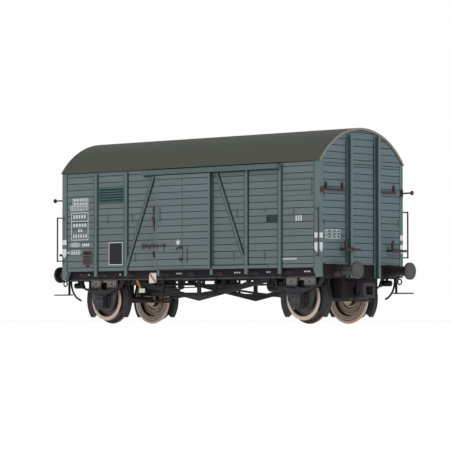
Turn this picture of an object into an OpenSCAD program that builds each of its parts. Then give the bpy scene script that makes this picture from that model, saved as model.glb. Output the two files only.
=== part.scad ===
// Two-axle covered railway wagon: a small-scale model with sliding doors,
// an arched roof, wheels that turn and coupler sockets that swing.
//
// X runs along the wagon (+X is its front), Y across it, Z up.
// The floor it stands on is z = 0, where the wheel flanges touch.
// Heights below are measured from the rail top, a flange depth higher up.
// Each side and each end is the other one turned half round about Z.

/* [Wheels] */
// Diameter of the wheel tread
wheel_d = 11; // [9:0.1:14]
// Depth of the flange below the tread
flange_h = 0.9; // [0.7:0.05:1.2]
// Distance between the inner faces of a pair of wheels
back_to_back = 14.4; // [13.8:0.05:14.6]
// Width of a wheel
wheel_w = 2.8; // [2:0.1:3]
// Distance from a wheel's axle to the nearer end wall
end_overhang = 10.4; // [9.4:0.1:13]
// Diameter of the axle between the wheels
axle_d = 1.5; // [1.2:0.1:2]
// Diameter of the journals that turn in the axle boxes
journal_d = 1; // [0.8:0.05:1.2]

/* [Body] */
// Length over the end walls
body_len = 89.8; // [74:0.1:112]
// Width over the side walls
body_w = 31.6; // [28:0.1:38]
// Height of the side walls
wall_h = 26; // [21:0.1:32]
// Thickness of the walls
wall_t = 1; // [0.8:0.05:1.2]
// Thickness of the floor
floor_t = 1; // [0.8:0.05:1.2]
// How far the framing stands out from the walls
post_out = 0.4; // [0.3:0.05:0.5]
// Width of the side posts
post_w = 1.2; // [1:0.1:1.5]
// Width of the diagonal braces
brace_w = 0.9; // [0.7:0.05:1.1]
// Width of the corner posts
corner_w = 1.5; // [1.2:0.1:2]
// Distance from the outer side posts' middle to the nearer end
outer_post_in = 12.65; // [11:0.05:15]
// Distance from the inner side posts' middle to the nearer end
inner_post_in = 23.8; // [22:0.1:28]
// How far the end posts stand out from the end walls
end_post_out = 1.5; // [1.1:0.1:1.8]
// Distance between the middles of the two end posts
end_post_gap = 10.6; // [9:0.1:13]

/* [Roof] */
// Height of the roof's crown above the eaves
roof_rise = 8.65; // [7:0.05:10.5]
// Thickness of the roof
roof_t = 0.6; // [0.5:0.05:0.8]
// Overhang of the roof beyond the side walls
roof_side_out = 0.53; // [0.4:0.01:0.7]
// Overhang of the roof beyond the end walls
roof_end_out = 0.43; // [0.3:0.01:0.6]

/* [Doors] */
// Width of a sliding door
door_w = 19.2; // [16:0.1:23.1]
// Thickness of a sliding door
door_t = 0.5; // [0.4:0.05:0.6]
// How far the door laps over each jamb of its opening
door_lap = 0.75; // [0.6:0.05:0.9]
// Height of the upper rail's fascia
rail_h = 1.2; // [1:0.05:1.5]

/* [Underframe] */
// Height of the solebars
solebar_h = 2.3; // [1.9:0.05:2.8]
// Thickness of the solebars and of the underframe's bars
bar_t = 0.5; // [0.4:0.05:0.6]
// Depth of the truss below the solebars
truss_drop = 5.5; // [4.5:0.1:6]
// Half the span of the truss
truss_half = 22.4; // [18:0.1:25]
// Length of the step boards
step_len = 22.2; // [18:0.1:26.7]
// Height of the step boards' top above the rail
step_h = 6.9; // [5.7:0.1:7.6]

/* [Buffers and couplers] */
// Distance between the middles of a pair of buffers
buffer_gap = 20.12; // [17:0.01:21]
// Diameter of the buffer heads
buffer_d = 4.26; // [3.6:0.01:5.1]
// How far the buffers reach beyond the end walls
buffer_out = 7.4; // [6.2:0.1:8.8]
// Height of the middle of the coupler socket above the rail
coupler_h = 7.35; // [7.2:0.05:7.6]
// Width of the opening in the coupler socket
socket_w = 2.7; // [2.3:0.05:3.2]
// Height of the opening in the coupler socket
socket_h = 2.1; // [1.7:0.05:2.4]
// How far a coupler socket swings to each side, in degrees
socket_swing = 8; // [6:1:9]

/* [Hidden] */
$fn = 48;

body_green = "#66756f";
frame_green = "#5d7069";
roof_olive = "#54544a";
frame_black = "#2b2527";
gear_grey = "#3a3a3b";
plate_grey = "#77746f";
wheel_metal = "#c9b7a4";
iron_brown = "#4a2f30";
sign_white = "#d8d6cf";

// running gear
wheel_r = wheel_d / 2;
flange_r = wheel_r + flange_h;
flange_w = 0.8;
wheel_in = back_to_back / 2;
wheel_out = wheel_in + wheel_w;
axle_x = body_len / 2 - end_overhang;
journal_gap = 0.06;      // radial running clearance of the journals
wheel_head = 0.9;        // air between a flange and the floor above it

// heights above the rail
floor_z = wheel_d + flange_h + wheel_head;
frame_z = floor_z - solebar_h;
wall_top = floor_z + wall_h;

// body planes
half_len = body_len / 2;
half_w = body_w / 2;
in_len = half_len - wall_t;
in_w = half_w - wall_t;
post_face = half_w + post_out;
corner_out = 0.2;
corner_x = half_len - corner_w;
out_x = half_len + corner_out;
out_y = half_w + corner_out;
foot_drop = 1.35;        // how far the side posts reach below the walls
inner_post_x = half_len - inner_post_in;
outer_post_x = half_len - outer_post_in;

// roof arc
roof_half_w = half_w + roof_side_out;
roof_r = (pow(roof_half_w, 2) + pow(roof_rise, 2)) / (2 * roof_rise);
roof_axis_z = wall_top + roof_rise - roof_r;
roof_in_r = roof_r - roof_t;

// sliding doors, described on the right side, where the door opens to +X
rail_proud = post_out + 0.1;
door_gap = 0.1;
door_back = half_w + rail_proud + door_gap;
door_face = door_back + door_t;
door_foot = floor_z + 0.25;
door_top = wall_top - 1.7;
door_half = door_w / 2;
opening_half = door_half - door_lap;
opening_top = door_top - 0.5;
door_travel = door_w + 1.6;
jamb_w = 0.9;
fascia_gap = 0.15;
fascia_t = 0.25;
fascia_top = wall_top - 0.35;
upper_rail_from = -door_half - 5.05;
upper_rail_to = door_half + door_travel + 1.95;
lower_rail_to = upper_rail_to - 4.05;
lower_rail_foot = floor_z + 0.15;
lower_rail_h = 0.65;

// ventilators
vent_top = wall_top - 4.1;
vent_h = 4.2;
vent_from = -outer_post_x + post_w / 2 + 0.15;
vent_to = -inner_post_x - post_w / 2 - 0.15;
vent_rim = 0.35;
slat_count = 5;
slat_t = 0.25;

// underframe
solebar_out = half_w - 1.2;
guard_in = wheel_out + 0.45;
guard_out = guard_in + bar_t;
solebar_in = guard_in - 0.1;
headstock_top = floor_z + 0.9;
headstock_foot = frame_z - 0.2;
sill_y = 2.6;
bearer_x = [8.5, 24];

// axle guards, boxes and springs, about the axle
box_half = 1.85;
box_h = 3.4;
box_foot = wheel_r - 2.2;
box_top = box_foot + box_h;
box_face = wheel_out + 2.5;
box_ear = 0.55;
journal_end = box_face - 0.4;
guard_slot = 2;
guard_top_half = 4.7;
guard_tie_foot = wheel_r - 2.8;
leaf_t = 0.25;
leaf_count = 5;
leaf_w = 1;
spring_y = guard_out + 0.15;
spring_half = 7;
spring_r = 36;

// brakes, about the axle
shoe_in_r = wheel_r + 0.3;
shoe_out_r = wheel_r + 2.3;
shoe_in_y = wheel_in + flange_w + 0.1;
shoe_out_y = wheel_out - 0.5;
beam_r = shoe_out_r - 0.8;
beam_z = 5;
rod_z = frame_z - 2.6;    // of the pull rods, at the middle lever

// couplers
box_front = half_len - 0.5;
pivot_x = axle_x + 5;
pivot_d = 1;
pivot_gap = 0.06;
box_slot_h = 1.5;
shank_half = 1.2;
box_slot_half = shank_half + (box_front - pivot_x) * tan(socket_swing) + 0.7;
shank_h = 1.1;
socket_back = half_len + 0.3;
socket_front = half_len + 2.5;
socket_wall_y = 0.85;
socket_wall_z = 0.8;

// buffers
buffer_z = frame_z + 1.68;
buffer_y = buffer_gap / 2;
head_t = 0.55;

// ---- helpers ------------------------------------------------------------

module box(low, high) translate(low) cube(high - low);

module on_rail() translate([0, 0, flange_h]) children();

module turned() rotate(180) children();

module both_turned() {
    children();
    turned() children();
}

module both_sides() {
    children();
    mirror([0, 1, 0]) children();
}

module both_ways() {
    children();
    mirror([1, 0, 0]) children();
}

// a rod lying along X, Y or Z from a point
module rod_x(at, length, d) translate(at) rotate([0, 90, 0]) cylinder(d = d, h = length);
module rod_y(at, length, d) translate(at) rotate([-90, 0, 0]) cylinder(d = d, h = length);
module rod_z(at, length, d) translate(at) cylinder(d = d, h = length);

function unit(v) = v / norm(v);
function heading(path, i) = unit(path[min(i + 1, len(path) - 1)] - path[max(i - 1, 0)]);

// a round tube swept along a path that never runs the way of [1, 1, 1]
module tube(path, d, sides = 8) {
    rings = len(path);
    points = [
        for (i = [0:rings - 1])
            let (along = heading(path, i), u = unit(cross(along, [1, 1, 1])), v = cross(along, u))
            for (k = [0:sides - 1]) let (a = 360 * k / sides) path[i] + d / 2 * (cos(a) * u + sin(a) * v)
    ];
    skin = [
        for (i = [0:rings - 2], k = [0:sides - 1])
            let (n = (k + 1) % sides, low = i * sides, high = low + sides)
            each [[low + k, high + k, high + n], [low + k, high + n, low + n]]
    ];
    near_end = [for (k = [0:sides - 1]) k];
    far_end = [for (k = [sides - 1:-1:0]) (rings - 1) * sides + k];
    polyhedron(points, concat(skin, [near_end, far_end]));
}

// a flat shape drawn in X and Z, as thick as y_in to y_out on the right side
module slab_right(y_in, y_out)
    translate([0, -y_in, 0]) rotate([90, 0, 0]) linear_extrude(y_out - y_in) children();

// a flat bar between two points of a drawing
module bar_2d(a, b, w) {
    run = b - a;
    translate(a) rotate(atan2(run[1], run[0])) translate([0, -w / 2]) square([norm(run), w]);
}

// the part of a ring between two radii that lies within an angle of a direction
module arc_2d(r_in, r_out, middle, spread) {
    reach = 2 * r_out;
    intersection() {
        difference() {
            circle(r_out, $fn = 96);
            circle(r_in, $fn = 96);
        }
        polygon([
            [0, 0],
            reach * [cos(middle - spread), sin(middle - spread)],
            reach * [cos(middle), sin(middle)],
            reach * [cos(middle + spread), sin(middle + spread)]
        ]);
    }
}

// ---- body ---------------------------------------------------------------

module floor() color(gear_grey) on_rail()
    box([-in_len, -in_w, floor_z], [in_len, in_w, floor_z + floor_t]);

module side_wall() on_rail() difference() {
    box([-corner_x, -half_w, floor_z], [corner_x, -in_w, wall_top]);
    box([-opening_half, -half_w - 1, floor_z + floor_t], [opening_half, -in_w + 1, opening_top]);
    box([vent_from, -half_w - 1, vent_top - vent_h], [vent_to, -in_w + 1, vent_top]);
}

module side_wall_right() color(body_green) side_wall();
module side_wall_left() color(body_green) turned() side_wall();

module gable_2d() {
    translate([-in_w, headstock_top]) square([2 * in_w, wall_top - headstock_top]);
    intersection() {
        translate([0, roof_axis_z]) circle(roof_in_r, $fn = 128);
        translate([-half_w, wall_top]) square([2 * half_w, roof_rise]);
    }
}

module end_wall() on_rail() translate([in_len, 0, 0]) rotate([90, 0, 90])
    linear_extrude(wall_t) gable_2d();

module end_wall_front() color(body_green) end_wall();
module end_wall_rear() color(body_green) turned() end_wall();

module roof() color(roof_olive) on_rail()
    translate([-half_len - roof_end_out, 0, 0]) rotate([90, 0, 90])
    linear_extrude(body_len + 2 * roof_end_out) intersection() {
        translate([0, roof_axis_z]) difference() {
            circle(roof_r, $fn = 128);
            circle(roof_in_r, $fn = 128);
        }
        translate([-roof_half_w, wall_top]) square([2 * roof_half_w, roof_rise]);
    }

// ---- framing ------------------------------------------------------------

module side_frame_2d() {
    foot = floor_z - foot_drop;
    brace_foot = lower_rail_foot + lower_rail_h + 0.5;
    for (x = [-outer_post_x, -inner_post_x, inner_post_x, outer_post_x])
        translate([x - post_w / 2, foot]) square([post_w, wall_top - 0.5 - foot]);
    for (side = [-1, 1]) {
        translate([side * (opening_half + jamb_w / 2) - jamb_w / 2, foot])
            square([jamb_w, fascia_top - rail_h - foot]);
        bar_2d([side * (door_half + 1.4), door_top], [side * (inner_post_x - 0.3), brace_foot], brace_w);
    }
}

module lower_rail_2d() translate([-opening_half - jamb_w, lower_rail_foot])
    square([lower_rail_to + opening_half + jamb_w, lower_rail_h]);

module side_posts() on_rail() slab_right(half_w, post_face) difference() {
    side_frame_2d();
    lower_rail_2d();
}

module side_posts_right() color(frame_green) side_posts();
module side_posts_left() color(frame_green) turned() side_posts();

// a corner post with the gusset at its foot, at the front right corner
module corner_post() {
    foot = frame_z + 0.1;
    box([corner_x, -out_y, floor_z], [out_x, -in_w, wall_top]);
    slab_right(in_w, out_y)
        polygon([[corner_x - 0.5, floor_z], [out_x, floor_z], [out_x, foot], [corner_x + 0.5, foot]]);
}

module corner_posts() color(frame_green) on_rail() both_turned() both_sides() corner_post();

// an end post is a channel with a broad back, a web and a front flange
module end_post(y) {
    back_w = 1.3;
    web_w = 0.5;
    front_w = 0.95;
    leaf = 0.3;
    top = roof_axis_z + sqrt(pow(roof_in_r, 2) - pow(abs(y) + back_w / 2, 2)) - 0.1;
    low = headstock_foot + 0.1;
    box([half_len, y - back_w / 2, low], [half_len + leaf, y + back_w / 2, top]);
    box([half_len, y - web_w / 2, low], [half_len + end_post_out, y + web_w / 2, top - 0.3]);
    box([half_len + end_post_out - leaf, y - front_w / 2, low],
        [half_len + end_post_out, y + front_w / 2, top - 0.3]);
}

module end_posts() on_rail() both_sides() end_post(end_post_gap / 2);
module end_posts_front() color(frame_green) end_posts();
module end_posts_rear() color(frame_green) turned() end_posts();

// ---- doors --------------------------------------------------------------

module door() on_rail() {
    hanger_w = 1.2;
    hanger_x = door_half - 3.2;
    box([-door_half, -door_face, door_foot], [door_half, -door_back, door_top]);
    for (x = [-hanger_x, hanger_x])
        box([x - hanger_w / 2, -door_face + 0.1, door_top - 0.2],
            [x + hanger_w / 2, -door_back - 0.1, fascia_top - 0.5]);
}

module door_right() color(body_green) door();
module door_left() color(body_green) turned() door();

// grab irons and the latch lever on a door's outer face
module door_handles() on_rail() {
    iron = 0.3;
    stand = 0.45;
    low = floor_z + 2;
    for (grip = [[-door_half + 1.7, low + 10.3, 3.7], [1.7, low - 0.2, 4]]) {
        translate([grip[0], 0, grip[1]]) {
            rod_z([0, -door_face - stand, 0], grip[2], iron);
            for (z = [iron, grip[2] - iron])
                rod_y([0, -door_face - stand, z], stand, iron * 0.8);
        }
    }
    box([-0.45, -door_face - 0.35, low + 0.4], [0.15, -door_face, low + 4.1]);
    box([-door_half + 0.1, -door_face - 0.35, low + 3.9], [-door_half + 1, -door_face, low + 4.6]);
}

module door_handles_right() color(iron_brown) door_handles();
module door_handles_left() color(iron_brown) turned() door_handles();

module upper_door_rail() on_rail() {
    face = door_face + fascia_gap + fascia_t;
    box([upper_rail_from, -face, fascia_top - rail_h],
        [upper_rail_to, -face + fascia_t, fascia_top]);
    box([upper_rail_from, -face, fascia_top - 0.3], [upper_rail_to, -post_face, fascia_top]);
    for (x = [upper_rail_from + 0.8, upper_rail_to - 0.8])
        box([x - 0.8, -face, fascia_top - rail_h], [x + 0.8, -post_face, fascia_top]);
}

module upper_door_rail_right() color(frame_green) upper_door_rail();
module upper_door_rail_left() color(frame_green) turned() upper_door_rail();

module lower_door_rail() on_rail() slab_right(half_w, half_w + rail_proud) lower_rail_2d();
module lower_door_rail_right() color(frame_green) lower_door_rail();
module lower_door_rail_left() color(frame_green) turned() lower_door_rail();

// ---- ventilators --------------------------------------------------------

module louvre() {
    foot = vent_top - vent_h;
    pitch = (vent_h - 2 * vent_rim) / slat_count;
    difference() {
        box([vent_from, -half_w - 0.1, foot], [vent_to, -in_w, vent_top]);
        box([vent_from + vent_rim, -half_w - 1, foot + vent_rim],
            [vent_to - vent_rim, -in_w + 1, vent_top - vent_rim]);
    }
    for (i = [0:slat_count - 1])
        translate([vent_from + 0.1, -half_w + wall_t / 2, foot + vent_rim + (i + 0.5) * pitch])
            rotate([40, 0, 0])
            translate([0, -0.45, -slat_t / 2]) cube([vent_to - vent_from - 0.2, 0.9, slat_t]);
}

module louvres() color(body_green) on_rail() both_turned() louvre();

module vent_flaps() color(body_green) on_rail() both_turned()
    box([outer_post_x + post_w / 2 + 0.3, -half_w - 0.2, vent_top - vent_h],
        [corner_x - 0.8, -half_w, vent_top]);

// ---- underframe ---------------------------------------------------------

module solebar() on_rail() {
    box([-in_len, -solebar_out, frame_z], [in_len, -solebar_out + bar_t, floor_z]);
    box([-in_len, -solebar_out, frame_z], [in_len, -solebar_in, frame_z + bar_t]);
}

module solebar_right() color(frame_black) solebar();
module solebar_left() color(frame_black) turned() solebar();

module headstock() on_rail()
    box([in_len, -in_w, headstock_foot], [half_len, in_w, headstock_top]);

module headstock_front() color(frame_black) headstock();
module headstock_rear() color(frame_black) turned() headstock();

module centre_sills() color(gear_grey) on_rail() both_sides()
    box([-in_len, sill_y - bar_t / 2, frame_z], [in_len, sill_y + bar_t / 2, floor_z]);

// the bearers stop at the sills, so each is three short bars
module cross_bearers() color(gear_grey) on_rail() both_ways() for (x = bearer_x) {
    sill_in = sill_y - bar_t / 2;
    box([x - bar_t, -sill_in, frame_z], [x + bar_t, sill_in, floor_z]);
    both_sides() box([x - bar_t, sill_in + bar_t, frame_z], [x + bar_t, solebar_in, floor_z]);
}

// a trussed strap below a solebar, with a gusset and a post in the middle
module truss_frame() on_rail() slab_right(guard_in, guard_out) {
    strap_w = 1.2;
    pad = 1.9;
    gusset = 3.5;
    post = 0.55;
    apex_z = frame_z - truss_drop;
    gusset_z = apex_z + strap_w + (truss_drop - strap_w) * gusset / truss_half;
    end = truss_half + pad;
    polygon([
        [-end, frame_z], [-end, frame_z - strap_w], [-truss_half, frame_z - strap_w], [0, apex_z],
        [truss_half, frame_z - strap_w], [end, frame_z - strap_w], [end, frame_z],
        [truss_half, frame_z], [gusset, gusset_z], [post, gusset_z], [post, frame_z],
        [-post, frame_z], [-post, gusset_z], [-gusset, gusset_z], [-truss_half, frame_z]
    ]);
}

module truss_right() color(gear_grey) truss_frame();
module truss_left() color(gear_grey) turned() truss_frame();

// a long step below the door, hung from the solebar on flat brackets
module step_board() on_rail() {
    board_t = 0.4;
    board_out = half_w + 0.8;
    board_in = board_out - 2.3;
    bracket = 0.6;
    box([-step_len / 2, -board_out, step_h - board_t], [step_len / 2, -board_in, step_h]);
    box([-step_len / 2, -board_out, step_h - 0.75], [step_len / 2, -board_out + 0.3, step_h + 0.15]);
    for (x = [-step_len / 2 + 2, step_len / 2 - 2])
        box([x - bracket / 2, -board_in - 0.25, step_h - board_t],
            [x + bracket / 2, -board_in + 0.15, frame_z]);
}

module step_board_right() color(gear_grey) step_board();
module step_board_left() color(gear_grey) turned() step_board();

// ---- running gear -------------------------------------------------------

module guard_2d() difference() {
    polygon([
        [-guard_top_half, frame_z], [-guard_top_half, frame_z - 1.9],
        [-4.2, wheel_r - 0.5], [-3, guard_tie_foot],
        [3, guard_tie_foot], [4.2, wheel_r - 0.5],
        [guard_top_half, frame_z - 1.9], [guard_top_half, frame_z]
    ]);
    polygon([
        [-guard_slot, guard_tie_foot + 0.5], [guard_slot, guard_tie_foot + 0.5],
        [guard_slot, frame_z - 2.5], [1.25, frame_z - 1.9], [1.25, frame_z + 1],
        [-1.25, frame_z + 1], [-1.25, frame_z - 1.9], [-guard_slot, frame_z - 2.5]
    ]);
    for (x = [-3, 3]) translate([x, frame_z - 0.9]) circle(d = 0.55);
}

module axle_guards() on_rail() translate([axle_x, 0, 0]) both_sides()
    slab_right(guard_in, guard_out) guard_2d();

module axle_guards_front() color(plate_grey) axle_guards();
module axle_guards_rear() color(plate_grey) turned() axle_guards();

// a stack of leaves bowed downwards, its buckle, and a shackle at each end
module spring_2d() {
    middle_z = box_top + spring_r;
    stack = leaf_count * leaf_t;
    full = asin(spring_half / (spring_r - stack));
    top_r = spring_r - stack + leaf_t / 2;
    for (i = [0:leaf_count - 1])
        translate([0, middle_z]) arc_2d(spring_r - stack + i * leaf_t - 0.01,
            spring_r - stack + (i + 1) * leaf_t, 270, full * (1 - 0.17 * i));
    for (side = [-1, 1])
        bar_2d([side * (top_r * sin(full) - 0.15), middle_z - top_r * cos(full)],
               [side * (spring_half + 0.7), frame_z - 0.05], 0.55);
    translate([-0.75, box_top]) square([1.5, stack + 0.35]);
}

module springs() on_rail() translate([axle_x, 0, 0]) both_sides()
    slab_right(spring_y, spring_y + leaf_w) spring_2d();

module springs_front() color(gear_grey) springs();
module springs_rear() color(gear_grey) turned() springs();

module axle_box() {
    difference() {
        union() {
            box([-box_half, -box_face + 0.4, box_foot], [box_half, -guard_out, box_top]);
            box([-guard_slot - box_ear, -guard_out - 0.4, box_foot + 0.4],
                [guard_slot + box_ear, -guard_out, box_top - 0.3]);
            box([-box_half + 0.35, -box_face, box_foot + 0.35], [box_half - 0.35, -guard_out, box_top - 0.5]);
        }
        rod_y([0, -journal_end - 0.1, wheel_r], journal_end, journal_d + 2 * journal_gap);
    }
}

module axle_boxes() on_rail() translate([axle_x, 0, 0]) both_sides() axle_box();
module axle_boxes_front() color(gear_grey) axle_boxes();
module axle_boxes_rear() color(gear_grey) turned() axle_boxes();

// half of a wheel and axle in section: radius across, distance from the middle up
module wheelset_2d() {
    hub_r = 1.7;
    web_in = wheel_in + 0.9;
    web_out = wheel_out - 1;
    rim_in_r = wheel_r - 1.15;
    polygon([
        [0, 0], [axle_d / 2, 0], [axle_d / 2, wheel_in - 0.3], [hub_r, wheel_in - 0.3],
        [hub_r, web_in], [2.5, web_in], [2.7, web_in - 0.35], [3.2, web_in - 0.35], [3.4, web_in],
        [rim_in_r - 0.1, web_in], [rim_in_r, wheel_in],
        [flange_r - 0.25, wheel_in], [flange_r, wheel_in + 0.25], [flange_r - 0.1, wheel_in + 0.5],
        [wheel_r + 0.1, wheel_in + flange_w], [wheel_r, wheel_in + flange_w + 0.3],
        [wheel_r - 0.05, wheel_out - 0.15], [wheel_r - 0.2, wheel_out],
        [rim_in_r, wheel_out], [rim_in_r - 0.15, web_out],
        [3.3, web_out], [3.15, web_out + 0.3], [2.65, web_out + 0.3], [2.5, web_out],
        [hub_r, web_out], [hub_r - 0.2, wheel_out + 0.1],
        [journal_d / 2, wheel_out + 0.1], [journal_d / 2, journal_end], [0, journal_end]
    ]);
}

module wheelset() on_rail() translate([axle_x, 0, wheel_r]) both_sides()
    rotate([90, 0, 0]) rotate_extrude($fn = 96) wheelset_2d();

module wheelset_front() color(wheel_metal) wheelset();
module wheelset_rear() color(wheel_metal) turned() wheelset();

// ---- brakes -------------------------------------------------------------

// a shoe and its narrower hanger
module brake_shoe() {
    translate([0, -shoe_in_y, wheel_r]) rotate([90, 0, 0])
        linear_extrude(shoe_out_y - shoe_in_y) arc_2d(shoe_in_r, shoe_out_r, -5, 32);
    box([beam_r - 0.35, -shoe_in_y - 0.9, wheel_r], [beam_r + 0.35, -shoe_in_y - 0.3, floor_z]);
}

module brake_shoes() on_rail() translate([axle_x, 0, 0]) both_ways() both_sides() brake_shoe();

module brake_beams() on_rail() translate([axle_x, 0, 0]) both_ways()
    box([beam_r - 0.3, -shoe_in_y, beam_z - 0.3], [beam_r + 0.3, shoe_in_y, beam_z + 0.3]);

module brake_shoes_front() color(gear_grey) brake_shoes();
module brake_shoes_rear() color(gear_grey) turned() brake_shoes();
module brake_beams_front() color(gear_grey) brake_beams();
module brake_beams_rear() color(gear_grey) turned() brake_beams();

// a lever in the middle, and the pull rod that slopes down from it to the inner brake beam
module brake_rod_2d() {
    beam_x = axle_x - beam_r - 0.3;
    lever_x = 2;
    translate([lever_x - 0.3, rod_z - 0.5]) square([0.6, floor_z - rod_z + 0.5]);
    intersection() {
        bar_2d([lever_x, rod_z], [beam_x + 0.5, beam_z], 0.5);
        square([beam_x, floor_z]);
    }
}

module brake_rods() color(gear_grey) on_rail() both_turned()
    rotate([90, 0, 0]) linear_extrude(0.5) brake_rod_2d();

module brake_cylinder() color(frame_black) on_rail() {
    r = 1.75;
    z = frame_z - 1.6;
    y = 4.6;
    rod_x([-7.5, y, z], 5, 2 * r);
    rod_x([-2.8, y, z], 0.5, 2 * r + 0.5);
    rod_x([-2.5, y, z], 3.5, 0.7);
    box([-6.8, y - 0.6, z], [-6.2, y + 0.6, floor_z]);
    box([-4.4, y - 0.6, z], [-3.8, y + 0.6, floor_z]);
}

module air_tank() color(frame_black) on_rail() {
    r = 1.7;
    z = frame_z - 1.5;
    y = 5;
    rod_x([10.5, y, z], 10, 2 * r);
    for (x = [12.5, 18])
        box([x, y - 0.5, z], [x + 0.6, y + 0.5, floor_z]);
}

// the change-over lever with its small plate, and the plate beside the door
module brake_levers() color(sign_white) on_rail() both_turned() {
    lever_x = -inner_post_x + 0.4;
    lever_y = solebar_in + 1.2;
    translate([lever_x, -lever_y, frame_z]) {
        slab_right(0, 0.4) bar_2d([-0.6, 0], [0.9, -2.4], 0.5);
        box([0.6, -0.7, -3.3], [2.6, -0.4, -2.2]);
    }
    box([-door_half - 4.2, -solebar_out - 0.3, frame_z - 0.9],
        [-door_half - 1.7, -solebar_out, floor_z - 0.6]);
}

// ---- ends ---------------------------------------------------------------

module coupler_box() on_rail() difference() {
    union() {
        box([axle_x + 3, -box_slot_half - 0.9, coupler_h - 1.25],
            [in_len, box_slot_half + 0.9, frame_z]);
        box([axle_x + flange_r + 0.6, -wheel_in + 0.4, coupler_h - 1.9],
            [box_front, wheel_in - 0.4, headstock_foot]);
    }
    difference() {
        box([axle_x + 3.7, -box_slot_half, coupler_h - box_slot_h / 2],
            [box_front + 1, box_slot_half, coupler_h + box_slot_h / 2]);
        rod_z([pivot_x, 0, coupler_h - 2], 4, pivot_d);
    }
}

module coupler_box_front() color(frame_black) coupler_box();
module coupler_box_rear() color(frame_black) turned() coupler_box();

module coupler_socket() on_rail() {
    half_y = socket_w / 2 + socket_wall_y;
    half_z = socket_h / 2 + socket_wall_z;
    difference() {
        union() {
            rod_z([pivot_x, 0, coupler_h - shank_h / 2], shank_h, 2 * shank_half);
            box([pivot_x, -shank_half, coupler_h - shank_h / 2],
                [socket_back + 0.4, shank_half, coupler_h + shank_h / 2]);
            box([socket_back, -half_y, coupler_h - half_z], [socket_front, half_y, coupler_h + half_z]);
        }
        rod_z([pivot_x, 0, coupler_h - 2], 4, pivot_d + 2 * pivot_gap);
        box([socket_back + 0.4, -socket_w / 2, coupler_h - socket_h / 2],
            [socket_front + 1, socket_w / 2, coupler_h + socket_h / 2]);
    }
}

module coupler_socket_front() color(gear_grey) coupler_socket();
module coupler_socket_rear() color(gear_grey) turned() coupler_socket();

// a buffer: base, stepped sleeve, shank and head
module buffer() translate([half_len, -buffer_y, buffer_z]) rotate([0, 90, 0]) {
    cylinder(d = 3.3, h = 0.4);
    cylinder(d = 3, h = 2.6);
    cylinder(d = 2.4, h = buffer_out - 1.4);
    cylinder(d = 1.5, h = buffer_out - 0.2);
    translate([0, 0, buffer_out - head_t]) cylinder(d = buffer_d, h = head_t);
}

module buffers() on_rail() both_sides() buffer();
module buffers_front() color(frame_black) buffers();
module buffers_rear() color(frame_black) turned() buffers();

// moulded hoses: a long one below the left buffer and a short one beside the coupler
module end_hoses() {
    hose = 0.5;
    long_r = 4.9;
    long_y = 12.2;
    long_x = half_len + 0.6;
    long_z = headstock_foot - 0.3;
    short_y = -4.2;
    short_x = half_len + 3.1;
    short_z = headstock_foot - 0.6;
    elbow_r = 1.2;
    curl_r = 2;
    drop = 0.9;
    tube(concat(
        [[half_len, long_y, long_z + 0.8], [long_x - 0.2, long_y, long_z + 0.75]],
        [for (a = [0:12.5:75]) [long_x, long_y - long_r + long_r * cos(a), long_z - long_r * sin(a)]]
    ), hose);
    tube(concat(
        [[box_front, short_y, short_z]],
        [for (a = [0:22.5:90])
            [short_x - elbow_r + elbow_r * sin(a), short_y, short_z - elbow_r + elbow_r * cos(a)]],
        [for (a = [0:16:80])
            [short_x, short_y - curl_r + curl_r * cos(a), short_z - elbow_r - drop - curl_r * sin(a)]]
    ), hose);
}

module brake_hoses() color(frame_black) on_rail() both_turned() end_hoses();

// corner handrails stand clear of the posts on two arms
module handrail() {
    d = 0.4;
    arm_d = 0.32;
    foot = [half_len - 1.1, -half_w];
    grip = [half_len + 0.8, -half_w - 1.35];
    low = floor_z + 2.7;
    high = floor_z + 14.5;
    rod_z([grip[0], grip[1], low], high - low, d);
    difference() {
        for (z = [low + d / 2, high - d / 2])
            translate([foot[0], foot[1], z]) rotate([0, 0, atan2(grip[1] - foot[1], grip[0] - foot[0])])
                rotate([0, 90, 0]) cylinder(d = arm_d, h = norm(grip - foot));
        box([corner_x - 1, -out_y, low - 1], [out_x, 0, high + 1]);
    }
}

module handrails() color(iron_brown) on_rail() both_turned() both_sides() handrail();

// lamp irons on the end walls, and a tail disc holder beyond one corner
module end_irons() {
    iron = 0.5;
    stand = 0.6;
    high = floor_z + 19;
    low = floor_z + 4.5;
    low_face = half_len + end_post_out;
    left_y = end_post_gap / 2 + 1.2;
    // upper irons: a bar with upright pins, each [start of the bar, its length, pins along it]
    for (bar = [[-in_w, 7.9, [1, 7.1]], [left_y, 6.5, [5.7]]]) translate([half_len, bar[0], high]) {
        box([0, 0, -iron / 2], [stand, bar[1], iron / 2]);
        for (pin = bar[2])
            box([0, pin - iron / 2, 0], [stand, pin + iron / 2, 1.8]);
    }
    box([out_x, -half_w, high - 0.7], [half_len + stand, -in_w, high + 0.5]);
    // lower irons stand out as far as the end posts
    for (y = [-end_post_gap / 2 - 3, left_y + 3.2]) translate([half_len, y, low]) {
        box([0, 0, -0.3], [low_face - half_len + 0.5, 0.55, 0.3]);
        box([low_face - half_len, 0, 0.3], [low_face - half_len + 0.5, 0.55, 2.1]);
        box([low_face - half_len, 0, -0.3], [low_face - half_len + 0.5, 5.6, 0.3]);
    }
    translate([out_x, half_w - 0.6, high]) {
        rod_x([0, 0, 0], 3.6, 0.4);
        box([0, -0.3, -0.9], [0.5, 0.3, 0.9]);
        rod_x([3.4, 0, 0], 0.3, 1.1);
    }
}

module lamp_brackets() color(iron_brown) on_rail() both_turned() end_irons();

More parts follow.
